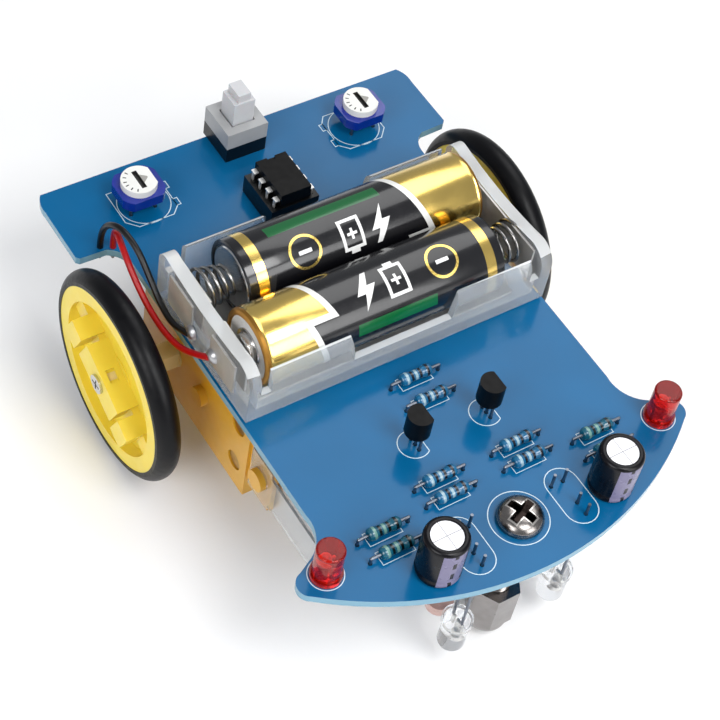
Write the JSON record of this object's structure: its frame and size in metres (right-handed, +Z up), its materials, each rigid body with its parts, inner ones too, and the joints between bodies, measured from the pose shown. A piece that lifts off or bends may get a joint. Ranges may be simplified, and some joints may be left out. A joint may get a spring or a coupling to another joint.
{
  "type": "two wheel robot car",
  "caption": "Wheeled robot car: circuit-board chassis with geared motors and wheels beneath, a cap-nut skid in front, and a battery holder and line-sensing circuit on top.",
  "frame": {"origin": "the middle of the bounding box's footprint, on the ground that the wheels and the skid stand on", "axes": "+X to the right along the wheel axle, the front of the car towards -Y, +Z up"},
  "size_m": [0.0902, 0.1101, 0.0505],
  "materials": {
    "board_blue": "gloss",
    "foam_white": "matte",
    "holder_clear": "gloss",
    "cell_sleeve": "gloss",
    "plated_steel": "satin",
    "tinned_wire": "satin",
    "black_plastic": "matte",
    "grey_plastic": "matte",
    "white_plastic": "satin",
    "trimmer_blue": "gloss",
    "resistor_blue": "gloss",
    "sleeve_black": "gloss",
    "red_epoxy": "gloss",
    "clear_epoxy": "gloss",
    "cell_red": "matte",
    "bright_nickel": "polished",
    "case_yellow": "satin",
    "hub_yellow": "satin",
    "gear_white": "satin",
    "can_steel": "satin",
    "brass_tab": "satin",
    "strap_clear": "gloss",
    "tyre_black": "matte",
    "wire_red": "satin",
    "wire_black": "satin"
  },
  "bodies": {
    "chassis": {"battery_front": "cell_sleeve", "battery_holder": "holder_clear", "battery_rear": "cell_sleeve", "black_wire": "wire_black", "bridge_plate": "plated_steel", "capacitors": "sleeve_black", "chip": "black_plastic", "chip_pins": "tinned_wire", "chip_socket": "black_plastic", "circuit_board": "board_blue", "contact_springs": "plated_steel", "gear_pins": "plated_steel", "gearbox_case_left": "case_yellow", "gearbox_case_right": "case_yellow", "gearbox_cover_left": "case_yellow", "gearbox_cover_right": "case_yellow", "gearbox_screws": "plated_steel", "holder_tape": "foam_white", "indicator_leds": "red_epoxy", "motor_can_left": "can_steel", "motor_can_right": "can_steel", "motor_caps": "white_plastic", "motor_straps": "strap_clear", "motor_tapes": "foam_white", "motor_terminals": "brass_tab", "negative_terminal": "plated_steel", "photo_cells": "cell_red", "positive_terminal": "plated_steel", "red_wire": "wire_red", "resistor_leads": "tinned_wire", "resistors": "resistor_blue", "sensor_leads": "tinned_wire", "sensor_leds": "clear_epoxy", "short_leads": "tinned_wire", "skid_cap_nut": "bright_nickel", "skid_nuts": "bright_nickel", "skid_screw": "bright_nickel", "switch_base": "black_plastic", "switch_cover": "grey_plastic", "transistor_leads": "tinned_wire", "transistors": "black_plastic", "trimmer_bodies": "trimmer_blue", "trimmer_legs": "tinned_wire"},
    "wheel_left": {"wheel_hub_left": "hub_yellow", "tyre_left": "tyre_black", "wheel_screw_left": "plated_steel", "output_gear_left": "gear_white"},
    "middle_gear_body_left": {"middle_gear_left": "gear_white"},
    "crown_gear_body_left": {"crown_gear_left": "gear_white"},
    "rotor_body_left": {"rotor_left": "can_steel"},
    "dial_left": {"trimmer_dial_left": "white_plastic"},
    "wheel_right": {"wheel_hub_right": "hub_yellow", "tyre_right": "tyre_black", "wheel_screw_right": "plated_steel", "output_gear_right": "gear_white"},
    "middle_gear_body_right": {"middle_gear_right": "gear_white"},
    "crown_gear_body_right": {"crown_gear_right": "gear_white"},
    "rotor_body_right": {"rotor_right": "can_steel"},
    "dial_right": {"trimmer_dial_right": "white_plastic"},
    "switch_button": {"switch_plunger": "white_plastic"}
  },
  "joints": [
    {"name": "wheel_left_spin", "type": "hinge", "parent": "chassis", "child": "wheel_left", "pos_m": [-0.0405, 0.02015, 0.0204], "axis": [1, 0, 0], "continuous": true},
    {"name": "middle_gear_left_spin", "type": "hinge", "parent": "chassis", "child": "middle_gear_body_left", "pos_m": [-0.014, 0.01115, 0.0204], "axis": [1, 0, 0], "continuous": true},
    {"name": "crown_gear_left_spin", "type": "hinge", "parent": "chassis", "child": "crown_gear_body_left", "pos_m": [-0.016, 0.00395, 0.0204], "axis": [1, 0, 0], "continuous": true},
    {"name": "rotor_left_spin", "type": "hinge", "parent": "chassis", "child": "rotor_body_left", "pos_m": [-0.0197, -0.01985, 0.0204], "axis": [0, 1, 0], "continuous": true},
    {"name": "dial_left_turn", "type": "hinge", "parent": "chassis", "child": "dial_left", "pos_m": [-0.024, 0.04465, 0.0398], "axis": [0, 0, 1], "range_deg": [-115, 115]},
    {"name": "wheel_right_spin", "type": "hinge", "parent": "chassis", "child": "wheel_right", "pos_m": [0.0405, 0.02015, 0.0204], "axis": [1, 0, 0], "continuous": true},
    {"name": "middle_gear_right_spin", "type": "hinge", "parent": "chassis", "child": "middle_gear_body_right", "pos_m": [0.014, 0.01115, 0.0204], "axis": [1, 0, 0], "continuous": true},
    {"name": "crown_gear_right_spin", "type": "hinge", "parent": "chassis", "child": "crown_gear_body_right", "pos_m": [0.016, 0.00395, 0.0204], "axis": [1, 0, 0], "continuous": true},
    {"name": "rotor_right_spin", "type": "hinge", "parent": "chassis", "child": "rotor_body_right", "pos_m": [0.0197, -0.01985, 0.0204], "axis": [0, 1, 0], "continuous": true},
    {"name": "dial_right_turn", "type": "hinge", "parent": "chassis", "child": "dial_right", "pos_m": [0.024, 0.04465, 0.0398], "axis": [0, 0, 1], "range_deg": [-115, 115]},
    {"name": "switch_button_press", "type": "slide", "parent": "chassis", "child": "switch_button", "axis": [0, 0, 1], "range_m": [-0.0018, 0], "stiffness_N_per_m": 600, "springref_m": 0.0008}
  ],
  "couplings": [
    {"joint": "middle_gear_left_spin", "follows": "wheel_left_spin", "ratio": -4},
    {"joint": "crown_gear_left_spin", "follows": "wheel_left_spin", "ratio": 12},
    {"joint": "rotor_left_spin", "follows": "wheel_left_spin", "ratio": 42},
    {"joint": "middle_gear_right_spin", "follows": "wheel_right_spin", "ratio": -4},
    {"joint": "crown_gear_right_spin", "follows": "wheel_right_spin", "ratio": 12},
    {"joint": "rotor_right_spin", "follows": "wheel_right_spin", "ratio": -42}
  ]
}
